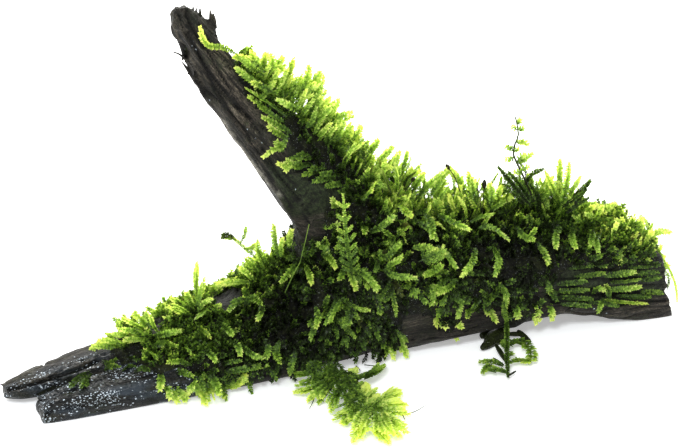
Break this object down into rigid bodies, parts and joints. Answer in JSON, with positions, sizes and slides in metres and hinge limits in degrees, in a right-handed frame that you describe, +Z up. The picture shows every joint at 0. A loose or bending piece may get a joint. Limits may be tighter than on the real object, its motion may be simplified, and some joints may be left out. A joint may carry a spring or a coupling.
{
  "type": "java moss on driftwood",
  "caption": "Dark wet driftwood with a long leaning branch, overgrown with feathery green java moss that trails in front. It lies on its flat underside in an aquarium layout.",
  "frame": {"origin": "middle of the footprint's bounding box, on the surface that the piece lies on", "axes": "+X along the log from its split left end to its squared right end, +Y to the back, +Z up"},
  "size_m": [0.1633, 0.0708, 0.0858],
  "materials": {
    "wet_driftwood": "wet, fibrous grain, satin with small glints",
    "java_moss": "wet leafy moss, translucent yellow-green tips over dark green"
  },
  "bodies": {
    "root": {"left_limb": "wet_driftwood", "right_limb": "wet_driftwood", "branch": "wet_driftwood", "rear_stub": "wet_driftwood", "left_moss_mat": "java_moss", "right_moss_mat": "java_moss", "branch_moss": "java_moss", "hanging_clump": "java_moss", "trailing_frond": "java_moss"}
  },
  "joints": []
}
